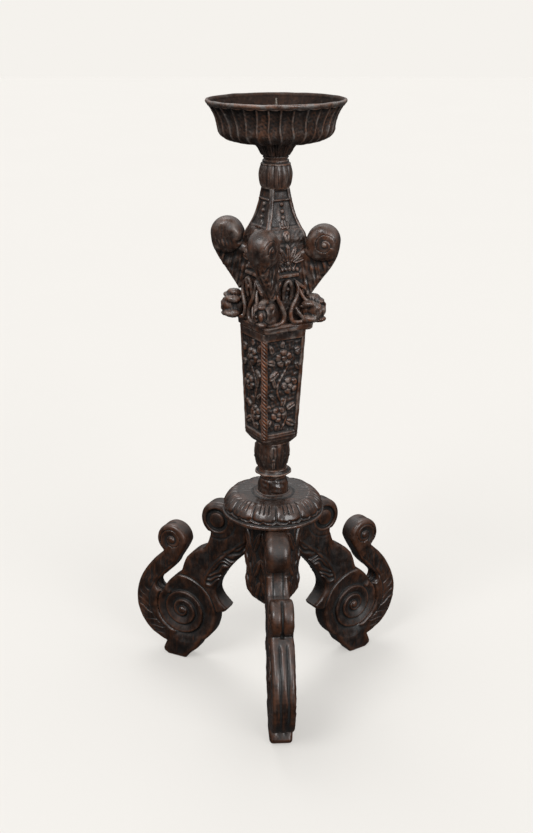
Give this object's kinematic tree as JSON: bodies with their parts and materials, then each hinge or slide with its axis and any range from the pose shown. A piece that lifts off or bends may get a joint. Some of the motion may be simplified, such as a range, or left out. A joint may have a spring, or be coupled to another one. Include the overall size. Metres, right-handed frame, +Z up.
{
  "type": "carved candlestick",
  "caption": "Tall carved wooden pricket candlestick: fluted drip bowl with an iron spike on a square scrolled stem, standing on a domed hub with scroll legs.",
  "frame": {"origin": "where the stem's axis meets the floor plane that the three feet stand on", "axes": "+Z up along the stem, -Y towards the front leg, +X to the right seen from the front"},
  "size_m": [0.48, 0.4157, 1],
  "materials": {
    "carved_wood": "dark brown waxed wood with red-brown wear on the raised edges",
    "worn_wood": "red-brown worn wood, waxed",
    "dowel_wood": "bare wood, hidden inside the joints",
    "pricket_iron": "forged iron, dull grey"
  },
  "bodies": {
    "root": {"pricket": "pricket_iron", "bowl": "carved_wood", "calyx": "carved_wood", "upper_knop": "carved_wood", "neck": "carved_wood", "capital": "carved_wood", "volute_1": "carved_wood", "volute_2": "carved_wood", "volute_3": "carved_wood", "volute_4": "carved_wood", "rosette_1": "worn_wood", "rosette_2": "worn_wood", "rosette_3": "worn_wood", "rosette_4": "worn_wood", "abacus": "worn_wood", "shaft": "carved_wood", "lower_baluster": "carved_wood", "collar_ring": "worn_wood", "base_neck": "carved_wood", "dome": "carved_wood", "hub": "carved_wood", "leg_front": "carved_wood", "leg_right": "carved_wood", "leg_left": "carved_wood", "crown_dowel": "dowel_wood", "neck_dowel": "dowel_wood", "capital_dowel": "dowel_wood", "shaft_dowel": "dowel_wood", "base_dowel": "dowel_wood", "leg_front_dowels": "dowel_wood", "leg_right_dowels": "dowel_wood", "leg_left_dowels": "dowel_wood"}
  },
  "joints": []
}
